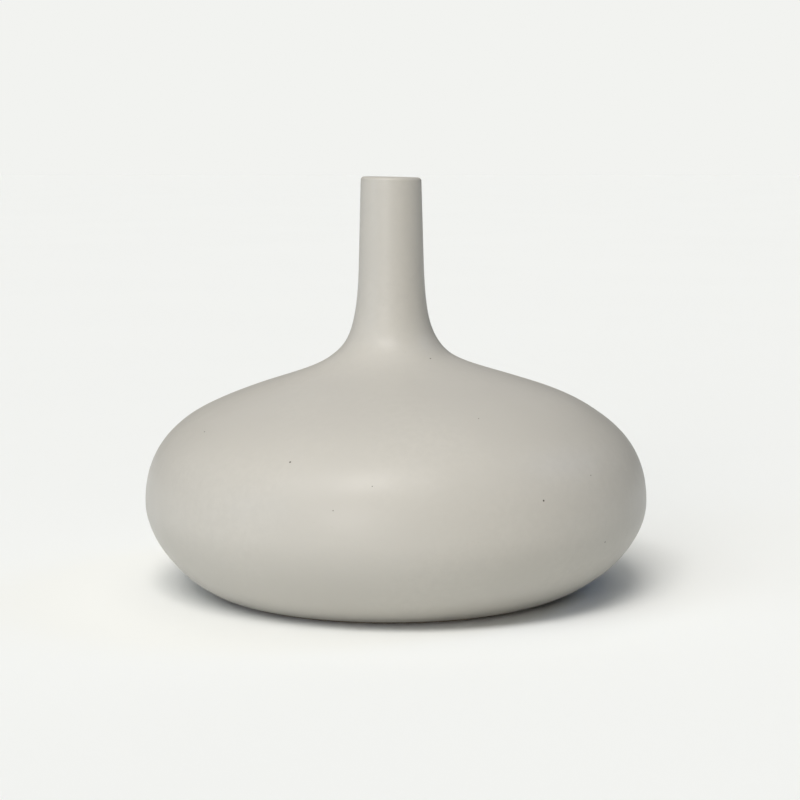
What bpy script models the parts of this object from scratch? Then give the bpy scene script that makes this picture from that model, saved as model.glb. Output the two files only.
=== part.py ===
"""Ceramic bud vase: a low rounded body with a gently dished shoulder and a slender neck.

Everything is a body of revolution about Z, standing on the plane z = 0. The outside is one
outline that starts at the foot, goes round the belly, up the neck, over the lip and a little way
down the bore. Every piece is cut out of that outline: a place on it is a distance travelled from
the foot, and a layer is a depth below it, so neighbouring pieces follow each other exactly.
Lengths are metres.
"""
import math

import bmesh
import bpy
import numpy as np

SIDES = 40                # flat sides round the axis
FACET_ERROR = 0.00015     # how far the flats between two rings may stray from the curve
NEAREST_RING = 0.001      # a ring closer than this to the end of a run is left out

# Outside of the glazed vase
HEIGHT = 0.135
BELLY_RADIUS = 0.0825
BELLY_Z = 0.0295
FOOT_RADIUS = 0.057       # where the underside meets the table
FOOT_ANGLE = 16.0         # rise of the underside there, degrees
SHOULDER_RADIUS = 0.045   # middle of the nearly straight slope
SHOULDER_Z = 0.0673
SHOULDER_ANGLE = 18.0     # slope of the shoulder there, degrees
NECK_RADIUS = 0.0106      # where the flare has become the neck
NECK_Z = 0.108
RIM_RADIUS = 0.0099
LIP_ROUND = 0.0012        # radius of the lip's two rounded corners
MOUTH_RADIUS = 0.006
MOUTH_GLAZE_DEEP = 0.008  # how far down inside the mouth the outer glaze reaches

# How far each curve of the outline runs straight on from its two ends
FOOT_PULL = 0.013
BELLY_PULL_DOWN = 0.012
BELLY_PULL_UP = 0.021
SHOULDER_PULL_OUT = 0.024
SHOULDER_PULL_IN = 0.030
NECK_PULL_DOWN = 0.033

# Layers, as depths below the outside
SLIP_GAP = 0.0003         # the film of slip or air between two pieces
GLAZE = 0.0006            # matte outer glaze
LINER = 0.0004            # glaze that seals the inside
CLAY = GLAZE + SLIP_GAP   # the clay's outer face
WALL_AT_FOOT = 0.0095     # the clay's inner face
WALL_AT_BELLY = 0.006
WALL_AT_SHOULDER = 0.0054
WALL_AT_NECK = 0.00325

# Joints, as distances along the outline from the foot
GLAZE_LINE = 0.003        # bare clay below this
FOOT_SEAM = 0.0065        # foot ring to bowl
BELLY_SEAM_ABOVE = 0.007  # bowl to shoulder, above the belly's widest line
NECK_SEAM_BELOW = 0.032   # shoulder to neck, below the end of the flare
LAP = 0.004               # how far one piece tucks inside the next

# Foot ring
FOOT_WIDTH = 0.009        # width of the ring that stands on the table
FOOT_BEVEL = 0.0005       # its two bottom edges
FOOT_TAPER = 0.0008       # how much wider it is at the top than at the bottom
FOOT_SEAM_DEEP = 0.0026   # depth at which the seam with the bowl turns level
TONGUE_INSET = 0.0022     # its tongue is this much narrower on each side
TONGUE_TALL = 0.0016


def bezier(start, start_pull, end_pull, end, steps=80):
    """Points of a cubic curve, the two middle arguments being its handles."""
    t = np.linspace(0.0, 1.0, steps)[:, None]
    corners = [np.array(point, dtype=float) for point in (start, start_pull, end_pull, end)]
    weights = ((1 - t) ** 3, 3 * (1 - t) ** 2 * t, 3 * (1 - t) * t ** 2, t ** 3)
    return sum(weight * corner for weight, corner in zip(weights, corners))


def corner_arc(centre, radius, first_degrees, last_degrees, steps=24):
    angles = np.radians(np.linspace(first_degrees, last_degrees, steps))
    return np.array(centre) + radius * np.column_stack([np.cos(angles), np.sin(angles)])


def along(angle_degrees, length):
    angle = math.radians(angle_degrees)
    return np.array([length * math.cos(angle), length * math.sin(angle)])


def outside():
    """The outline as named stretches, each a run of (radius, height) points."""
    foot = np.array([FOOT_RADIUS, 0.0])
    belly = np.array([BELLY_RADIUS, BELLY_Z])
    shoulder = np.array([SHOULDER_RADIUS, SHOULDER_Z])
    neck = np.array([NECK_RADIUS, NECK_Z])
    lip_z = HEIGHT - LIP_ROUND
    lip = np.array([RIM_RADIUS, lip_z])
    down_neck = (neck - lip) / np.hypot(*(neck - lip))
    uphill = 180.0 - SHOULDER_ANGLE
    outer_corner = corner_arc((RIM_RADIUS - LIP_ROUND, lip_z), LIP_ROUND, 0, 90)
    inner_corner = corner_arc((MOUTH_RADIUS + LIP_ROUND, lip_z), LIP_ROUND, 90, 180)
    return {
        "underside": bezier(foot, foot + along(FOOT_ANGLE, FOOT_PULL),
                            belly - (0.0, BELLY_PULL_DOWN), belly),
        "dome": bezier(belly, belly + (0.0, BELLY_PULL_UP),
                       shoulder - along(uphill, SHOULDER_PULL_OUT), shoulder),
        "flare": bezier(shoulder, shoulder + along(uphill, SHOULDER_PULL_IN),
                        neck + NECK_PULL_DOWN * down_neck, neck),
        "neck": np.array([neck, lip]),
        "outer_corner": outer_corner,
        "rim": np.array([outer_corner[-1], inner_corner[0]]),
        "inner_corner": inner_corner,
        "bore": np.array([(MOUTH_RADIUS, lip_z), (MOUTH_RADIUS, HEIGHT - MOUTH_GLAZE_DEEP)]),
    }


class Outline:
    """The outside as one line that can be read at any distance and depth."""

    def __init__(self, stretches):
        points = np.vstack(list(stretches.values()))
        steps = np.hypot(*np.diff(points, axis=0).T)
        self.points = points[np.append(True, steps > 1e-9)]
        steps = np.hypot(*np.diff(self.points, axis=0).T)
        self.distance = np.append(0.0, np.cumsum(steps))
        direction = np.gradient(self.points, self.distance, axis=0)
        direction /= np.hypot(*direction.T)[:, None]
        self.inward = np.column_stack([-direction[:, 1], direction[:, 0]])
        heading = np.unwrap(np.arctan2(direction[:, 1], direction[:, 0]))
        bend = np.abs(np.diff(heading)) / steps
        self.rings_so_far = np.append(0.0, np.cumsum(np.sqrt(bend / (8 * FACET_ERROR)) * steps))
        self.ends = {name: self.distance_to(run[-1]) for name, run in stretches.items()}
        self.rings = []

    def distance_to(self, point):
        return float(self.distance[np.argmin(np.hypot(*(self.points - point).T))])

    def place_rings(self, cuts):
        """Rings at the stretches' ends and at the cuts, with more between them on the bends."""
        fixed = sorted([0.0] + list(self.ends.values()) + cuts)
        for first, last in zip(fixed, fixed[1:]):
            low, high = np.interp([first, last], self.distance, self.rings_so_far)
            wanted = np.linspace(low, high, max(1, round(high - low)) + 1)
            self.rings += list(np.interp(wanted[:-1], self.rings_so_far, self.distance))

    def at(self, place, depth=0.0):
        """The point this far along the outline and this far below it."""
        point = [np.interp(place, self.distance, column) for column in self.points.T]
        inward = [np.interp(place, self.distance, column) for column in self.inward.T]
        inward = np.array(inward) / math.hypot(*inward)
        return tuple(np.array(point) + depth * inward)

    def run(self, first, last, depth):
        """Points from one place to another. depth is a length or a function of the place."""
        depth_at = depth if callable(depth) else lambda place: depth
        low = min(first, last) + NEAREST_RING
        high = max(first, last) - NEAREST_RING
        between = [place for place in self.rings if low < place < high]
        if last < first:
            between.reverse()
        return [self.at(place, depth_at(place)) for place in [first] + between + [last]]


def revolve(name, outline, material):
    """A closed solid from an outline of (radius, height) points, spun about Z."""
    shape = bmesh.new()
    points = [shape.verts.new((radius, 0.0, height)) for radius, height in outline]
    edges = [shape.edges.new(pair) for pair in zip(points, points[1:])]
    if outline[0][0] > 0.0:
        edges.append(shape.edges.new((points[-1], points[0])))
    bmesh.ops.spin(shape, geom=points + edges, cent=(0, 0, 0), axis=(0, 0, 1),
                   angle=2 * math.pi, steps=SIDES, use_merge=True)
    bmesh.ops.remove_doubles(shape, verts=shape.verts, dist=1e-6)
    bmesh.ops.recalc_face_normals(shape, faces=shape.faces)
    mesh = bpy.data.meshes.new(name)
    shape.to_mesh(mesh)
    shape.free()
    mesh.shade_smooth()
    mesh.set_sharp_from_angle(angle=math.radians(35))
    mesh.materials.append(material)
    solid = bpy.data.objects.new(name, mesh)
    bpy.context.scene.collection.objects.link(solid)
    return solid


def plain_material(name, colour, roughness):
    material = bpy.data.materials.new(name)
    material.use_nodes = True
    shader = material.node_tree.nodes["Principled BSDF"]
    shader.inputs["Base Color"].default_value = (*colour, 1.0)
    shader.inputs["Roughness"].default_value = roughness
    return material


def build():
    for thing in list(bpy.data.objects):
        bpy.data.objects.remove(thing, do_unlink=True)

    line = Outline(outside())
    belly = line.ends["underside"]
    shoulder = line.ends["dome"]
    neck = line.ends["flare"]
    mouth_end = line.ends["bore"]
    liner_top = line.ends["neck"] - (MOUTH_GLAZE_DEEP - LIP_ROUND) - SLIP_GAP
    belly_seam = belly + BELLY_SEAM_ABOVE
    neck_seam = neck - NECK_SEAM_BELOW
    laps = [belly_seam, belly_seam + LAP, neck_seam, neck_seam + LAP]
    line.place_rings([GLAZE_LINE, FOOT_SEAM, liner_top] + laps)

    def wall(place):
        """Depth of the clay's inner face: thick at the foot, thin in the neck."""
        places = (0.0, belly, shoulder, neck)
        depths = (WALL_AT_FOOT, WALL_AT_BELLY, WALL_AT_SHOULDER, WALL_AT_NECK)
        return float(np.interp(place, places, depths))

    def liner_back(place):
        return wall(place) + SLIP_GAP

    def liner_face(place):
        return wall(place) + SLIP_GAP + LINER

    def tuck(seam, side):
        """Depth of the face inside a lapped joint. side is -1 outside the gap, 1 inside it."""
        return (CLAY + wall(seam)) / 2 + side * SLIP_GAP / 2

    brown_clay = (0.24, 0.175, 0.12)
    stone_white = (0.48, 0.46, 0.415)
    foot_clay = plain_material("foot_clay", brown_clay, 0.85)
    bowl_clay = plain_material("bowl_clay", brown_clay, 0.80)
    shoulder_clay = plain_material("shoulder_clay", brown_clay, 0.80)
    neck_clay = plain_material("neck_clay", brown_clay, 0.80)
    matte_glaze = plain_material("matte_glaze", stone_white, 0.40)
    clear_liner = plain_material("clear_liner", (0.46, 0.42, 0.35), 0.20)

    # Foot: a ring that stands on the table, with a tongue up into the bowl and a small step
    # outside where the glaze stops.
    step = GLAZE_LINE - SLIP_GAP
    seam_corner = line.at(FOOT_SEAM, FOOT_SEAM_DEEP)
    ring_top = seam_corner[1]
    ring_inside = FOOT_RADIUS - FOOT_WIDTH
    tongue_in = ring_inside + TONGUE_INSET
    tongue_out = FOOT_RADIUS - TONGUE_INSET
    ring = [(FOOT_RADIUS - FOOT_BEVEL, 0.0), line.at(FOOT_BEVEL), line.at(step)]
    ring += line.run(step, FOOT_SEAM, CLAY) + [seam_corner]
    ring += [(tongue_out, ring_top), (tongue_out, ring_top + TONGUE_TALL)]
    ring += [(tongue_in, ring_top + TONGUE_TALL), (tongue_in, ring_top)]
    ring += [(ring_inside - FOOT_TAPER, ring_top), (ring_inside, FOOT_BEVEL)]
    ring += [(ring_inside + FOOT_BEVEL, 0.0)]
    revolve("foot_ring", ring, foot_clay)

    # Bowl: floor and lower wall, with a groove below for the foot's tongue and a tongue of its
    # own above, inside the shoulder.
    bowl_foot = FOOT_SEAM + SLIP_GAP
    underside_z = ring_top + SLIP_GAP
    groove_z = underside_z + TONGUE_TALL
    bowl = [(0.0, underside_z), (tongue_in - SLIP_GAP, underside_z)]
    bowl += [(tongue_in - SLIP_GAP, groove_z), (tongue_out + SLIP_GAP, groove_z)]
    bowl += [(tongue_out + SLIP_GAP, underside_z), (seam_corner[0], underside_z)]
    bowl += line.run(bowl_foot, belly_seam, CLAY)
    bowl += line.run(belly_seam, belly_seam + LAP, tuck(belly_seam, 1))
    bowl += line.run(belly_seam + LAP, GLAZE_LINE, wall)
    bowl += [(0.0, bowl[-1][1])]
    revolve("lower_bowl", bowl, bowl_clay)

    # Shoulder: the dome, lapped over the bowl below and tucked inside the neck above.
    dome = line.run(belly_seam + SLIP_GAP, neck_seam, CLAY)
    dome += line.run(neck_seam, neck_seam + LAP, tuck(neck_seam, 1))
    dome += line.run(neck_seam + LAP, belly_seam + LAP + SLIP_GAP, wall)
    dome += line.run(belly_seam + LAP + SLIP_GAP, belly_seam + SLIP_GAP, tuck(belly_seam, -1))
    revolve("shoulder", dome, shoulder_clay)

    # Neck: the flare, the tube and the lip, down to a bore that the mouth glaze lines.
    tube = line.run(neck_seam + SLIP_GAP, mouth_end, CLAY)
    tube += line.run(liner_top, neck_seam + LAP + SLIP_GAP, wall)
    tube += line.run(neck_seam + LAP + SLIP_GAP, neck_seam + SLIP_GAP, tuck(neck_seam, -1))
    revolve("neck", tube, neck_clay)

    # Outer glaze: one coat from just above the foot, over the lip and into the mouth.
    coat = line.run(GLAZE_LINE, mouth_end, 0.0)
    coat += line.run(mouth_end, GLAZE_LINE, GLAZE)
    revolve("outer_glaze", coat, matte_glaze)

    # Liner glaze: seals the inside and meets the outer glaze inside the mouth.
    back = line.run(GLAZE_LINE, liner_top, liner_back)
    face = line.run(liner_top, GLAZE_LINE, liner_face)
    liner = [(0.0, back[0][1])] + back + face + [(0.0, face[-1][1])]
    revolve("liner_glaze", liner, clear_liner)


build()
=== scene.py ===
"""The looks of the ceramic bud vase: fine surfaces, glaze and clay materials, studio and camera.

Every piece is turned about Z from the same outline as the CAD, at a far finer step, and then
drifts a little off true, as a hand-thrown vase does. Lengths are metres and +Z is up.
"""

import math
import random

import bmesh
import bpy
import numpy as np
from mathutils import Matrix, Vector, noise


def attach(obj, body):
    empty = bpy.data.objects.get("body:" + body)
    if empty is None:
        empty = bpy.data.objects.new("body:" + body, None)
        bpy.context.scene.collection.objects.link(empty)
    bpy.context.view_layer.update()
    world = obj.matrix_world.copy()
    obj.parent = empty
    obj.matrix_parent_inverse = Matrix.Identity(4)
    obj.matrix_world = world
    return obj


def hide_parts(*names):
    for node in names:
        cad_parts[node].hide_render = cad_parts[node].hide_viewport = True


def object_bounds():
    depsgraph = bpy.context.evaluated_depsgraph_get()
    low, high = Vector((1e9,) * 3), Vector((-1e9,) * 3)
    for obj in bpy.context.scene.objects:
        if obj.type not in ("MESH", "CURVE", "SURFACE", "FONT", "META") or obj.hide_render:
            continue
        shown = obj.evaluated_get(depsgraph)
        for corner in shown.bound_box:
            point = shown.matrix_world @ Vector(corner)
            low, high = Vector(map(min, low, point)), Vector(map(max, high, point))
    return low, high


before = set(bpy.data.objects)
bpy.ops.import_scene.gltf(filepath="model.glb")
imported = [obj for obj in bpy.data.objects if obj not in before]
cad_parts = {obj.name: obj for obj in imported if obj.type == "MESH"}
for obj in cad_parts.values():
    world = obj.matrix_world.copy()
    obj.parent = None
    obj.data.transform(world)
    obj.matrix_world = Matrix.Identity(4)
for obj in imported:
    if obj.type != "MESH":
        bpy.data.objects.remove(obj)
CAD_LOW, CAD_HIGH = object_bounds()

# Outside of the glazed vase
HEIGHT = CAD_HIGH.z
BELLY_RADIUS = CAD_HIGH.x
BELLY_Z = 0.0295
FOOT_RADIUS = 0.057
FOOT_ANGLE = 16.0
SHOULDER_RADIUS = 0.045
SHOULDER_Z = 0.0673
SHOULDER_ANGLE = 18.0
NECK_RADIUS = 0.0106
NECK_Z = 0.108
RIM_RADIUS = 0.0099
LIP_ROUND = 0.0012
MOUTH_RADIUS = 0.006
MOUTH_GLAZE_DEEP = 0.008

# How far each curve of the outline runs straight on from its two ends
FOOT_PULL = 0.013
BELLY_PULL_DOWN = 0.012
BELLY_PULL_UP = 0.021
SHOULDER_PULL_OUT = 0.024
SHOULDER_PULL_IN = 0.030
NECK_PULL_DOWN = 0.033

# Layers, as depths below the outside, and joints, as distances along the outline
SLIP_GAP = 0.0003
GLAZE = 0.0006
LINER = 0.0004
CLAY = GLAZE + SLIP_GAP
WALL_AT_FOOT = 0.0095
WALL_AT_BELLY = 0.006
WALL_AT_SHOULDER = 0.0054
WALL_AT_NECK = 0.00325
GLAZE_LINE = 0.003
FOOT_SEAM = 0.0065
BELLY_SEAM_ABOVE = 0.007
NECK_SEAM_BELOW = 0.032
LAP = 0.004
FOOT_WIDTH = 0.009
FOOT_BEVEL = 0.0005
FOOT_TAPER = 0.0008
FOOT_SEAM_DEEP = 0.0026
TONGUE_INSET = 0.0022
TONGUE_TALL = 0.0016

# How finely the pieces are turned
FINE_STEP = 0.0009
PLAIN_STEP = 0.002
UNDERSIDE_STEP = 0.0005
FINE_SIDES = 224
PLAIN_SIDES = 96
SHARP_ANGLE = 40.0
TINY = 1e-6             # nearer than this, points are one and the same

# Marks of the making
GLAZE_WAVE = 0.00015    # how far the glaze line above the foot wanders
GLAZE_WAVE_FADE = 0.009
RING_PITCH = 0.0055     # throwing rings inside
RING_DEPTH = 0.00008
RING_LEAN = 0.8         # how much of a ring's place comes from its radius, not its height
TRIM_PITCH = 0.0021     # turning rings on the underside
TRIM_DEPTH = 0.00005
TRIM_BELOW = 0.009
TRIM_CALM = 0.004       # no rings right at the centre

# How far the axis wanders sideways with height: (height, drift) pairs joined smoothly
DRIFT = [(0.0, -0.0019), (0.004, -0.0012), (0.012, -0.0003), (0.024, 0.0), (0.056, 0.0),
         (0.065, 0.0011), (0.069, 0.0009), (0.078, -0.0012), (0.090, -0.0015), (HEIGHT, -0.0016)]
RIM_SLOPE = 0.02        # the lip dips towards +X
OUT_OF_ROUND = 0.00012  # the body is narrower than it should be, most from front to back
LUMPS_PER_METRE = 26.0

# Dark specks seen in the glaze: (bearing in degrees, height, radius)
FRONT_SPECKS = [(-150, 0.056, 0.00034), (-115, 0.0515, 0.00042), (-57, 0.040, 0.00042),
                (-38, 0.024, 0.00034), (-51, 0.077, 0.00036), (-65, 0.0625, 0.00026),
                (-41, 0.045, 0.00026), (-95, 0.046, 0.00022), (-103, 0.039, 0.00022)]
OTHER_SPECKS = 12       # more of them, at random on the sides and back

# Camera and studio
CAMERA_DISTANCE = 0.650
CAMERA_ABOVE_RIM = 0.00775
CAMERA_ASIDE = 0.0013
AIM_HEIGHT = 0.0617
FOCAL_LENGTH = 89.4
BACKDROP = (0.888, 0.895, 0.871)
ROOM_COLOUR = (0.98, 0.99, 1.0)
ROOM_STRENGTH = 0.08
FLOOR_HALF_WIDTH = 12.0

# Soft lamps: name, bearing, elevation and spread in degrees, strength in red, green and blue
LAMPS = [("front_high", -95.0, 57.0, 18.0, (0.340, 0.328, 0.318)),
         ("left_high", -118.0, 50.0, 18.0, (0.305, 0.298, 0.293)),
         ("left_middle", -143.0, 43.0, 25.0, (0.120, 0.125, 0.130)),
         ("front_low", -110.0, 12.0, 24.0, (0.280, 0.268, 0.262)),
         ("left_low", -155.0, 12.0, 24.0, (0.050, 0.068, 0.100)),
         ("right_middle", 15.0, 39.0, 20.0, (0.025, 0.040, 0.075)),
         ("overhead", 0.0, 88.0, 60.0, (0.205, 0.198, 0.175)),
         ("back", 90.0, 35.0, 50.0, (0.080, 0.077, 0.075))]

GLAZE_COLOUR = (0.476, 0.460, 0.415)
GLAZE_SPECK = (0.07, 0.06, 0.05)
GLAZE_PINHOLE = (0.20, 0.17, 0.13)
GLAZE_ROUGHNESS = (0.36, 0.44)
GLAZE_SPECULAR = 0.25
CLAY_COLOUR = (0.24, 0.175, 0.12)
CLAY_IRON = (0.05, 0.04, 0.03)
CLAY_ROUGHNESS = (0.80, 0.95)
LINER_COLOUR = (0.46, 0.42, 0.35)
LINER_PINHOLE = (0.14, 0.10, 0.07)
LINER_ROUGHNESS = (0.16, 0.28)
THIN_AT_LIP = 0.0022    # over this height at the lip the glaze thins and shows some clay


# ---------------------------------------------------------------- outline

def bezier(start, start_pull, end_pull, end, steps=240):
    """Points of a cubic curve, the two middle arguments being its handles."""
    t = np.linspace(0.0, 1.0, steps)[:, None]
    corners = [np.array(point, dtype=float) for point in (start, start_pull, end_pull, end)]
    weights = ((1 - t) ** 3, 3 * (1 - t) ** 2 * t, 3 * (1 - t) * t ** 2, t ** 3)
    return sum(weight * corner for weight, corner in zip(weights, corners))


def corner_arc(centre, radius, first_degrees, last_degrees, steps=24):
    angles = np.radians(np.linspace(first_degrees, last_degrees, steps))
    return np.array(centre) + radius * np.column_stack([np.cos(angles), np.sin(angles)])


def along(angle_degrees, length):
    angle = math.radians(angle_degrees)
    return np.array([length * math.cos(angle), length * math.sin(angle)])


def outside():
    """The outline as named stretches, each a run of (radius, height) points."""
    foot = np.array([FOOT_RADIUS, 0.0])
    belly = np.array([BELLY_RADIUS, BELLY_Z])
    shoulder = np.array([SHOULDER_RADIUS, SHOULDER_Z])
    neck = np.array([NECK_RADIUS, NECK_Z])
    lip_z = HEIGHT - LIP_ROUND
    lip = np.array([RIM_RADIUS, lip_z])
    down_neck = (neck - lip) / np.hypot(*(neck - lip))
    uphill = 180.0 - SHOULDER_ANGLE
    outer_corner = corner_arc((RIM_RADIUS - LIP_ROUND, lip_z), LIP_ROUND, 0, 90)
    inner_corner = corner_arc((MOUTH_RADIUS + LIP_ROUND, lip_z), LIP_ROUND, 90, 180)
    return {
        "underside": bezier(foot, foot + along(FOOT_ANGLE, FOOT_PULL),
                            belly - (0.0, BELLY_PULL_DOWN), belly),
        "dome": bezier(belly, belly + (0.0, BELLY_PULL_UP),
                       shoulder - along(uphill, SHOULDER_PULL_OUT), shoulder),
        "flare": bezier(shoulder, shoulder + along(uphill, SHOULDER_PULL_IN),
                        neck + NECK_PULL_DOWN * down_neck, neck),
        "neck": np.array([neck, lip]),
        "outer_corner": outer_corner,
        "rim": np.array([outer_corner[-1], inner_corner[0]]),
        "inner_corner": inner_corner,
        "bore": np.array([(MOUTH_RADIUS, lip_z), (MOUTH_RADIUS, HEIGHT - MOUTH_GLAZE_DEEP)]),
    }


class Outline:
    """The outside as one line that can be read at any distance and depth."""

    def __init__(self, stretches):
        points = np.vstack(list(stretches.values()))
        steps = np.hypot(*np.diff(points, axis=0).T)
        self.points = points[np.append(True, steps > 1e-9)]
        steps = np.hypot(*np.diff(self.points, axis=0).T)
        self.distance = np.append(0.0, np.cumsum(steps))
        direction = np.gradient(self.points, self.distance, axis=0)
        direction /= np.hypot(*direction.T)[:, None]
        self.inward = np.column_stack([-direction[:, 1], direction[:, 0]])
        self.ends = {name: self.distance_to(run[-1]) for name, run in stretches.items()}

    def distance_to(self, point):
        return float(self.distance[np.argmin(np.hypot(*(self.points - point).T))])

    def at(self, place, depth=0.0):
        """The point this far along the outline and this far below it."""
        point = [np.interp(place, self.distance, column) for column in self.points.T]
        inward = [np.interp(place, self.distance, column) for column in self.inward.T]
        inward = np.array(inward) / math.hypot(*inward)
        return tuple(np.array(point) + depth * inward)

    def radius_at(self, height):
        """Radius of the outside at a height below the lip."""
        below_lip = self.distance <= self.ends["neck"]
        return float(np.interp(height, self.points[below_lip, 1], self.points[below_lip, 0]))

    def run(self, first, last, depth, step):
        """Points a step apart from one place to another. depth is a length or a function."""
        depth_at = depth if callable(depth) else lambda place: depth
        count = max(2, math.ceil(abs(last - first) / step) + 1)
        return [self.at(place, depth_at(place)) for place in np.linspace(first, last, count)]


def straight(start, end, step):
    """Points a step apart on a straight line, without its first point."""
    start = np.array(start)
    end = np.array(end)
    count = max(1, math.ceil(np.hypot(*(end - start)) / step))
    return [tuple(start + (end - start) * part / count) for part in range(1, count + 1)]


LINE = Outline(outside())
BELLY = LINE.ends["underside"]
SHOULDER = LINE.ends["dome"]
NECK = LINE.ends["flare"]
MOUTH_END = LINE.ends["bore"]
LINER_TOP = LINE.ends["neck"] - (MOUTH_GLAZE_DEEP - LIP_ROUND) - SLIP_GAP
BELLY_SEAM = BELLY + BELLY_SEAM_ABOVE
NECK_SEAM = NECK - NECK_SEAM_BELOW


def wall(place):
    """Depth of the clay's inner face: thick at the foot, thin in the neck."""
    depths = (WALL_AT_FOOT, WALL_AT_BELLY, WALL_AT_SHOULDER, WALL_AT_NECK)
    return float(np.interp(place, (0.0, BELLY, SHOULDER, NECK), depths))


def tuck(seam, side):
    """Depth of the face inside a lapped joint. side is -1 outside the gap, 1 inside it."""
    return (CLAY + wall(seam)) / 2 + side * SLIP_GAP / 2


# ---------------------------------------------------------------- turning

def smooth(x):
    x = min(max(x, 0.0), 1.0)
    return x * x * (3 - 2 * x)


def drift(height):
    """Sideways wander of the axis at this height."""
    for (low, start), (high, end) in zip(DRIFT, DRIFT[1:]):
        if height <= high:
            return start + (end - start) * smooth((height - low) / (high - low))
    return DRIFT[-1][1]


def hand_thrown(point):
    """Moves a point of the true shape to where a slightly untrue vase has it."""
    x, y, z = point
    bearing = math.atan2(y, x)
    radius = math.hypot(x, y)
    body = smooth(radius / SHOULDER_RADIUS)
    lumps = 0.5 + 0.5 * noise.noise(Vector((x, y, z)) * LUMPS_PER_METRE)
    shrink = OUT_OF_ROUND * body * (1 - math.cos(2 * bearing) + lumps)
    keep = (radius - shrink) / radius if radius > TINY else 1.0
    dip = RIM_SLOPE * (x + RIM_RADIUS) * smooth((z - NECK_Z) / (HEIGHT - NECK_Z))
    return (x * keep + drift(z), y * keep, z - dip)


def turn(name, section, sides, ripple=None):
    """A closed piece from a section of (radius, height) points. ripple(bearing, radius, height)
    gives a small (radius, height) change for tool marks."""
    shape = bmesh.new()
    points = [shape.verts.new((radius, 0.0, height)) for radius, height in section]
    edges = [shape.edges.new(pair) for pair in zip(points, points[1:])]
    if section[0][0] > 0.0:
        edges.append(shape.edges.new((points[-1], points[0])))
    bmesh.ops.spin(shape, geom=points + edges, cent=(0, 0, 0), axis=(0, 0, 1),
                   angle=2 * math.pi, steps=sides, use_merge=True)
    bmesh.ops.remove_doubles(shape, verts=shape.verts, dist=TINY)
    bmesh.ops.recalc_face_normals(shape, faces=shape.faces)
    for vertex in shape.verts:
        x, y, z = vertex.co
        radius = math.hypot(x, y)
        if ripple and radius > TINY:
            out, up = ripple(math.atan2(y, x), radius, z)
            x *= (radius + out) / radius
            y *= (radius + out) / radius
            z += up
        vertex.co = hand_thrown((x, y, z))
    mesh = bpy.data.meshes.new(name)
    shape.to_mesh(mesh)
    shape.free()
    mesh.shade_smooth()
    mesh.set_sharp_from_angle(angle=math.radians(SHARP_ANGLE))
    piece = bpy.data.objects.new(name, mesh)
    bpy.context.scene.collection.objects.link(piece)
    return piece


def add_piece(piece, node, material):
    """Puts a piece in place of its CAD node."""
    piece.data.materials.append(material)
    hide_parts(node)
    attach(piece, "root")


# ---------------------------------------------------------------- materials

class Shading:
    """A material under construction, on object coordinates in metres, so that a texture's
    scale is how many times it repeats in a metre."""

    def __init__(self, name):
        self.material = bpy.data.materials.new(name)
        self.material.use_nodes = True
        self.nodes = self.material.node_tree.nodes
        self.links = self.material.node_tree.links
        self.shader = self.nodes["Principled BSDF"]
        self.where = self.nodes.new("ShaderNodeTexCoord").outputs["Object"]

    def link(self, source, target):
        self.links.new(source, target)

    def noise(self, scale, detail=3.0, roughness=0.5):
        node = self.nodes.new("ShaderNodeTexNoise")
        node.inputs["Scale"].default_value = scale
        node.inputs["Detail"].default_value = detail
        node.inputs["Roughness"].default_value = roughness
        self.link(self.where, node.inputs["Vector"])
        return node.outputs["Fac"]

    def cells(self, scale):
        node = self.nodes.new("ShaderNodeTexVoronoi")
        node.inputs["Scale"].default_value = scale
        self.link(self.where, node.inputs["Vector"])
        return node.outputs["Distance"]

    def height(self):
        node = self.nodes.new("ShaderNodeSeparateXYZ")
        self.link(self.where, node.inputs["Vector"])
        return node.outputs["Z"]

    def scaled(self, value, low, high, to_low=0.0, to_high=1.0):
        """value taken from low..high to to_low..to_high, smoothly and without overshoot."""
        node = self.nodes.new("ShaderNodeMapRange")
        node.interpolation_type = "SMOOTHSTEP"
        self.link(value, node.inputs["Value"])
        for label, number in zip(("From Min", "From Max", "To Min", "To Max"),
                                 (low, high, to_low, to_high)):
            node.inputs[label].default_value = number
        return node.outputs["Result"]

    def calc(self, first, second, operation="ADD"):
        node = self.nodes.new("ShaderNodeMath")
        node.operation = operation
        for socket, value in zip(node.inputs, (first, second)):
            if isinstance(value, float):
                socket.default_value = value
            else:
                self.link(value, socket)
        return node.outputs["Value"]

    def mix(self, amount, first, second):
        node = self.nodes.new("ShaderNodeMix")
        node.data_type = "RGBA"
        colours = (node.inputs[6], node.inputs[7])
        for socket, value in zip((node.inputs[0],) + colours, (amount, first, second)):
            if isinstance(value, tuple):
                socket.default_value = (*value, 1.0)
            elif isinstance(value, float):
                socket.default_value = value
            else:
                self.link(value, socket)
        return node.outputs[2]

    def distance_from(self, point):
        node = self.nodes.new("ShaderNodeVectorMath")
        node.operation = "DISTANCE"
        self.link(self.where, node.inputs[0])
        node.inputs[1].default_value = point
        return node.outputs["Value"]

    def bump(self, height, distance, strength=1.0, after=None):
        node = self.nodes.new("ShaderNodeBump")
        node.inputs["Distance"].default_value = distance
        node.inputs["Strength"].default_value = strength
        self.link(height, node.inputs["Height"])
        if after:
            self.link(after, node.inputs["Normal"])
        return node.outputs["Normal"]

    def finish(self, colour, roughness, normal):
        self.link(colour, self.shader.inputs["Base Color"])
        self.link(roughness, self.shader.inputs["Roughness"])
        self.link(normal, self.shader.inputs["Normal"])
        return self.material


def tinted(colour, factor):
    return tuple(min(1.0, part * factor) for part in colour)


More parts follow.
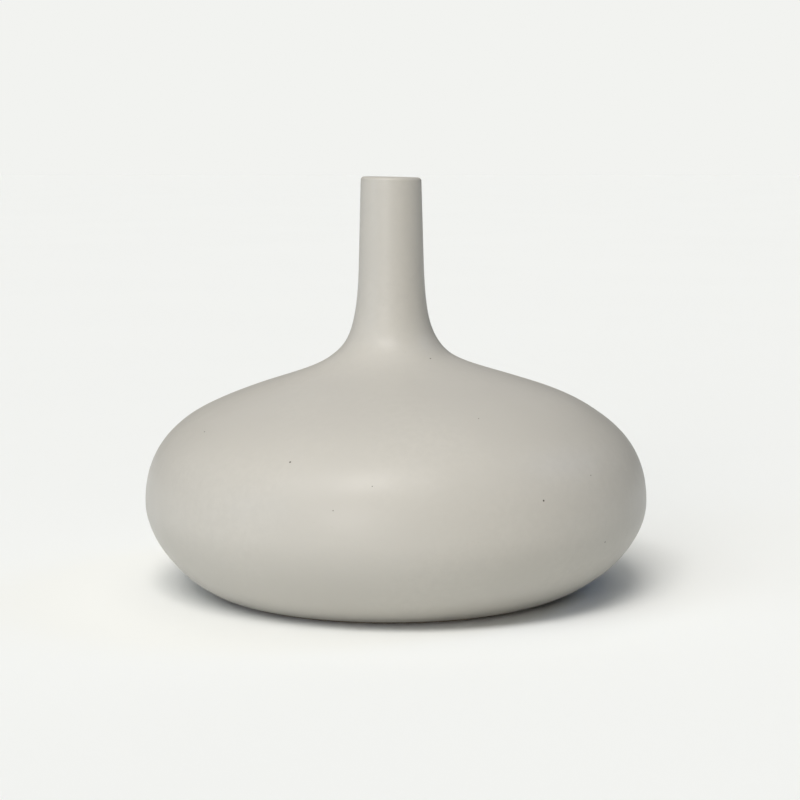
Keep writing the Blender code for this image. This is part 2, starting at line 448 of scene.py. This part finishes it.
def matte_glaze():
    """Satin stone-white glaze with soft clouding, a few iron specks and pinholes."""
    make = Shading("satin_glaze")
    cloud = make.scaled(make.noise(24.0, detail=2.0), 0.3, 0.7)
    colour = make.mix(cloud, tinted(GLAZE_COLOUR, 0.975), tinted(GLAZE_COLOUR, 1.025))
    mottle = make.scaled(make.noise(420.0, detail=5.0, roughness=0.6), 0.25, 0.75)
    colour = make.mix(mottle, colour, tinted(GLAZE_COLOUR, 0.98))
    thin = make.scaled(make.height(), HEIGHT - THIN_AT_LIP, HEIGHT, 0.0, 0.08)
    colour = make.mix(thin, colour, CLAY_COLOUR)
    pinholes = make.scaled(make.cells(400.0), 0.02, 0.05, 1.0, 0.0)
    colour = make.mix(make.calc(pinholes, 0.3, "MULTIPLY"), colour, GLAZE_PINHOLE)
    specks = 0.0
    for point, radius in speck_points():
        spot = make.scaled(make.distance_from(point), radius * 0.4, radius, 1.0, 0.0)
        specks = make.calc(specks, spot)
    colour = make.mix(specks, colour, GLAZE_SPECK)
    roughness = make.scaled(make.noise(70.0, detail=4.0), 0.3, 0.7, *GLAZE_ROUGHNESS)
    make.shader.inputs["Specular IOR Level"].default_value = GLAZE_SPECULAR
    skin = make.bump(make.noise(900.0, detail=3.0), 0.00002)
    skin = make.bump(pinholes, -0.0001, after=skin)
    return make.finish(colour, roughness, skin)


def speck_points():
    """Centres and radii of the iron specks: those seen on the front, and some elsewhere."""
    rng = random.Random(7)
    specks = list(FRONT_SPECKS)
    for _ in range(OTHER_SPECKS):
        specks.append((rng.uniform(-10, 190), rng.uniform(0.012, 0.085), rng.uniform(2, 4) * 1e-4))
    points = []
    for bearing, height, radius in specks:
        out = LINE.radius_at(height)
        angle = math.radians(bearing)
        points.append((hand_thrown((out * math.cos(angle), out * math.sin(angle), height)), radius))
    return points


def liner_glaze():
    """Clear, slightly warm glaze over the clay inside."""
    make = Shading("clear_liner")
    pooled = make.scaled(make.noise(60.0, detail=3.0), 0.3, 0.7)
    colour = make.mix(pooled, tinted(LINER_COLOUR, 0.92), tinted(LINER_COLOUR, 1.04))
    pinholes = make.scaled(make.cells(260.0), 0.03, 0.07, 1.0, 0.0)
    colour = make.mix(pinholes, colour, LINER_PINHOLE)
    roughness = make.scaled(make.noise(120.0), 0.3, 0.7, *LINER_ROUGHNESS)
    return make.finish(colour, roughness, make.bump(make.noise(350.0), 0.00003))


def bare_clay(name, colour):
    """Unglazed brown stoneware: sandy, with paler grog and dark iron grains."""
    make = Shading(name)
    sand = make.scaled(make.noise(1500.0, detail=6.0, roughness=0.7), 0.25, 0.75)
    mixed = make.mix(sand, tinted(colour, 0.82), tinted(colour, 1.15))
    patches = make.scaled(make.noise(40.0, detail=3.0), 0.3, 0.7, 0.0, 0.35)
    mixed = make.mix(patches, mixed, tinted(colour, 0.85))
    grog = make.scaled(make.cells(600.0), 0.10, 0.22, 1.0, 0.0)
    mixed = make.mix(make.calc(grog, 0.5, "MULTIPLY"), mixed, tinted(colour, 1.8))
    iron = make.scaled(make.cells(330.0), 0.06, 0.14, 1.0, 0.0)
    mixed = make.mix(make.calc(iron, 0.8, "MULTIPLY"), mixed, CLAY_IRON)
    roughness = make.scaled(make.noise(800.0), 0.2, 0.8, *CLAY_ROUGHNESS)
    grain = make.bump(make.noise(1800.0, detail=6.0, roughness=0.7), 0.00012)
    return make.finish(mixed, roughness, make.bump(grog, 0.0001, after=grain))


# ---------------------------------------------------------------- pieces

def glaze_line_wave(bearing, radius, height):
    """The glaze ends along a slightly wavy line above the foot."""
    if height > BELLY_Z:
        return 0.0, 0.0
    edge = 1.0 - smooth((radius - FOOT_RADIUS) / GLAZE_WAVE_FADE)
    slide = edge * GLAZE_WAVE * (2 + math.sin(5 * bearing + 1.0) + math.sin(11 * bearing + 0.4))
    slope = math.radians(FOOT_ANGLE)
    return slide * math.cos(slope), slide * math.sin(slope)


def throwing_rings(bearing, radius, height):
    """Finger ridges in a slow spiral up the inside."""
    turns = (height - radius * RING_LEAN) / RING_PITCH + bearing / (2 * math.pi)
    return RING_DEPTH * math.cos(2 * math.pi * turns), 0.0


def trimming_marks(bearing, radius, height):
    """Fine tool rings on the underside, where the foot was turned."""
    if height > TRIM_BELOW:
        return 0.0, 0.0
    turns = radius / TRIM_PITCH + bearing / (2 * math.pi)
    return 0.0, TRIM_DEPTH * (1 + math.cos(2 * math.pi * turns)) * smooth(radius / TRIM_CALM)


def outer_glaze_piece():
    coat = LINE.run(GLAZE_LINE, LINE.ends["neck"], 0.0, FINE_STEP)
    coat += LINE.run(LINE.ends["neck"], LINE.ends["inner_corner"], 0.0, LIP_ROUND / 5)[1:]
    coat += LINE.run(LINE.ends["inner_corner"], MOUTH_END, 0.0, FINE_STEP)[1:]
    back = LINE.run(MOUTH_END, LINE.ends["inner_corner"], GLAZE, PLAIN_STEP)
    back += LINE.run(LINE.ends["inner_corner"], LINE.ends["neck"], GLAZE, LIP_ROUND / 3)[1:]
    back += LINE.run(LINE.ends["neck"], GLAZE_LINE, GLAZE, PLAIN_STEP * 2)[1:]
    return turn("satin_glaze_coat", coat + back, FINE_SIDES, glaze_line_wave)


def liner_piece():
    def back_depth(place):
        return wall(place) + SLIP_GAP

    def face_depth(place):
        return wall(place) + SLIP_GAP + LINER

    back = LINE.run(GLAZE_LINE, LINER_TOP, back_depth, PLAIN_STEP)
    face = LINE.run(LINER_TOP, GLAZE_LINE, face_depth, FINE_STEP)
    under = [(0.0, back[0][1])] + straight((0.0, back[0][1]), back[0], PLAIN_STEP * 2)[:-1]
    over = straight(face[-1], (0.0, face[-1][1]), PLAIN_STEP)
    return turn("water_liner", under + back + face + over, PLAIN_SIDES, throwing_rings)


def foot_joint():
    """The joint of foot ring and bowl: its outer corner, and the two radii of the tongue."""
    corner = LINE.at(FOOT_SEAM, FOOT_SEAM_DEEP)
    return corner, FOOT_RADIUS - FOOT_WIDTH + TONGUE_INSET, FOOT_RADIUS - TONGUE_INSET


def foot_piece():
    corner, tongue_in, tongue_out = foot_joint()
    inside = FOOT_RADIUS - FOOT_WIDTH
    top = corner[1]
    step = GLAZE_LINE - SLIP_GAP
    outer_bevel = corner_arc((FOOT_RADIUS - FOOT_BEVEL, FOOT_BEVEL), FOOT_BEVEL, -90, -20, 6)
    inner_bevel = corner_arc((inside + FOOT_BEVEL, FOOT_BEVEL), FOOT_BEVEL, 180, 270, 6)
    ring = [tuple(point) for point in outer_bevel]
    ring += LINE.run(FOOT_BEVEL * 2, step, 0.0, FINE_STEP)
    ring += LINE.run(step, FOOT_SEAM, CLAY, FINE_STEP) + [corner]
    ring += [(tongue_out, top), (tongue_out, top + TONGUE_TALL)]
    ring += [(tongue_in, top + TONGUE_TALL), (tongue_in, top), (inside - FOOT_TAPER, top)]
    ring += [tuple(point) for point in inner_bevel]
    ring += straight(ring[-1], ring[0], FINE_STEP)[:-1]
    return turn("turned_foot", ring, FINE_SIDES)


def bowl_piece():
    corner, tongue_in, tongue_out = foot_joint()
    underside = corner[1] + SLIP_GAP
    groove = underside + TONGUE_TALL
    start = (0.0, underside)
    bowl = [start] + straight(start, (tongue_in - SLIP_GAP, underside), UNDERSIDE_STEP)
    bowl += [(tongue_in - SLIP_GAP, groove), (tongue_out + SLIP_GAP, groove)]
    bowl += [(tongue_out + SLIP_GAP, underside), (corner[0], underside)]
    bowl += LINE.run(FOOT_SEAM + SLIP_GAP, BELLY_SEAM, CLAY, PLAIN_STEP)
    bowl += LINE.run(BELLY_SEAM, BELLY_SEAM + LAP, tuck(BELLY_SEAM, 1), PLAIN_STEP)
    bowl += LINE.run(BELLY_SEAM + LAP, GLAZE_LINE, wall, PLAIN_STEP)
    bowl += straight(bowl[-1], (0.0, bowl[-1][1]), PLAIN_STEP * 3)
    return turn("bowl_clay", bowl, FINE_SIDES // 2, trimming_marks)


def shoulder_piece():
    lap_end = BELLY_SEAM + LAP + SLIP_GAP
    dome = LINE.run(BELLY_SEAM + SLIP_GAP, NECK_SEAM, CLAY, PLAIN_STEP)
    dome += LINE.run(NECK_SEAM, NECK_SEAM + LAP, tuck(NECK_SEAM, 1), PLAIN_STEP)
    dome += LINE.run(NECK_SEAM + LAP, lap_end, wall, PLAIN_STEP)
    dome += LINE.run(lap_end, BELLY_SEAM + SLIP_GAP, tuck(BELLY_SEAM, -1), PLAIN_STEP)
    return turn("shoulder_clay", dome, PLAIN_SIDES)


def neck_piece():
    lap_end = NECK_SEAM + LAP + SLIP_GAP
    tube = LINE.run(NECK_SEAM + SLIP_GAP, LINE.ends["neck"], CLAY, PLAIN_STEP)
    tube += LINE.run(LINE.ends["neck"], LINE.ends["inner_corner"], CLAY, LIP_ROUND / 3)[1:]
    tube += [LINE.at(MOUTH_END, CLAY)]
    tube += LINE.run(LINER_TOP, lap_end, wall, PLAIN_STEP)
    tube += LINE.run(lap_end, NECK_SEAM + SLIP_GAP, tuck(NECK_SEAM, -1), PLAIN_STEP)
    return turn("neck_clay", tube, PLAIN_SIDES)


def build_vase():
    clay = bare_clay("hidden_clay", CLAY_COLOUR)
    add_piece(outer_glaze_piece(), "outer_glaze", matte_glaze())
    add_piece(liner_piece(), "liner_glaze", liner_glaze())
    add_piece(foot_piece(), "foot_ring", bare_clay("bare_foot_clay", CLAY_COLOUR))
    add_piece(bowl_piece(), "lower_bowl", clay)
    add_piece(shoulder_piece(), "shoulder", clay)
    add_piece(neck_piece(), "neck", clay)


# ---------------------------------------------------------------- studio

def floor_colour():
    """The floor's own colour, which these lamps make as bright as the backdrop."""
    light = [ROOM_STRENGTH * part for part in ROOM_COLOUR]
    for _, _, elevation, _, colour in LAMPS:
        slant = math.sin(math.radians(elevation))
        light = [so_far + slant * part for so_far, part in zip(light, colour)]
    return tuple(seen / lit for seen, lit in zip(BACKDROP, light))


def build_floor():
    """A wide pale floor, just under the vase."""
    shape = bmesh.new()
    bmesh.ops.create_grid(shape, x_segments=8, y_segments=8, size=FLOOR_HALF_WIDTH)
    mesh = bpy.data.meshes.new("floor")
    shape.to_mesh(mesh)
    shape.free()
    floor = bpy.data.objects.new("floor", mesh)
    bpy.context.scene.collection.objects.link(floor)
    make = Shading("floor_paper")
    grain = make.scaled(make.noise(3.0), 0.3, 0.7)
    paper = floor_colour()
    colour = make.mix(grain, tinted(paper, 0.997), tinted(paper, 1.003))
    make.shader.inputs["Specular IOR Level"].default_value = 0.0
    roughness = make.scaled(make.noise(5.0), 0.3, 0.7, 0.93, 0.97)
    mesh.materials.append(make.finish(colour, roughness, make.bump(make.noise(900.0), 0.00001)))


def add_sun(name, bearing, elevation, spread, colour):
    """A broad, soft lamp. bearing is where it stands, from +X towards +Y, in degrees."""
    lamp = bpy.data.lights.new(name, "SUN")
    lamp.energy = math.pi
    lamp.color = colour
    lamp.angle = math.radians(spread)
    sun = bpy.data.objects.new(name, lamp)
    turned = math.radians(bearing)
    raised = math.radians(elevation)
    towards = Vector((math.cos(turned) * math.cos(raised), math.sin(turned) * math.cos(raised),
                      math.sin(raised)))
    sun.rotation_euler = towards.to_track_quat("Z", "Y").to_euler()
    bpy.context.scene.collection.objects.link(sun)


def build_studio():
    """Lamps, a dim room that lights the vase a little, and a pale backdrop behind it all."""
    world = bpy.data.worlds.new("studio")
    world.use_nodes = True
    nodes = world.node_tree.nodes
    links = world.node_tree.links
    room = nodes["Background"]
    room.inputs["Color"].default_value = (*ROOM_COLOUR, 1.0)
    room.inputs["Strength"].default_value = ROOM_STRENGTH
    backdrop = nodes.new("ShaderNodeBackground")
    backdrop.inputs["Color"].default_value = (*BACKDROP, 1.0)
    seen = nodes.new("ShaderNodeLightPath").outputs["Is Camera Ray"]
    either = nodes.new("ShaderNodeMixShader")
    links.new(seen, either.inputs["Fac"])
    links.new(room.outputs["Background"], either.inputs[1])
    links.new(backdrop.outputs["Background"], either.inputs[2])
    links.new(either.outputs["Shader"], nodes["World Output"].inputs["Surface"])
    bpy.context.scene.world = world
    for name, bearing, elevation, spread, colour in LAMPS:
        add_sun(name, bearing, elevation, spread, colour)


def build_camera():
    lens = bpy.data.cameras.new("camera")
    lens.lens = FOCAL_LENGTH
    lens.clip_start = 0.01
    camera = bpy.data.objects.new("camera", lens)
    camera.location = (CAMERA_ASIDE, -CAMERA_DISTANCE, HEIGHT + CAMERA_ABOVE_RIM)
    aim = Vector((CAMERA_ASIDE, 0.0, AIM_HEIGHT)) - camera.location
    camera.rotation_euler = aim.to_track_quat("-Z", "Y").to_euler()
    bpy.context.scene.collection.objects.link(camera)
    bpy.context.scene.camera = camera


build_vase()
build_floor()
build_studio()
build_camera()
bpy.context.scene.view_settings.view_transform = "Standard"
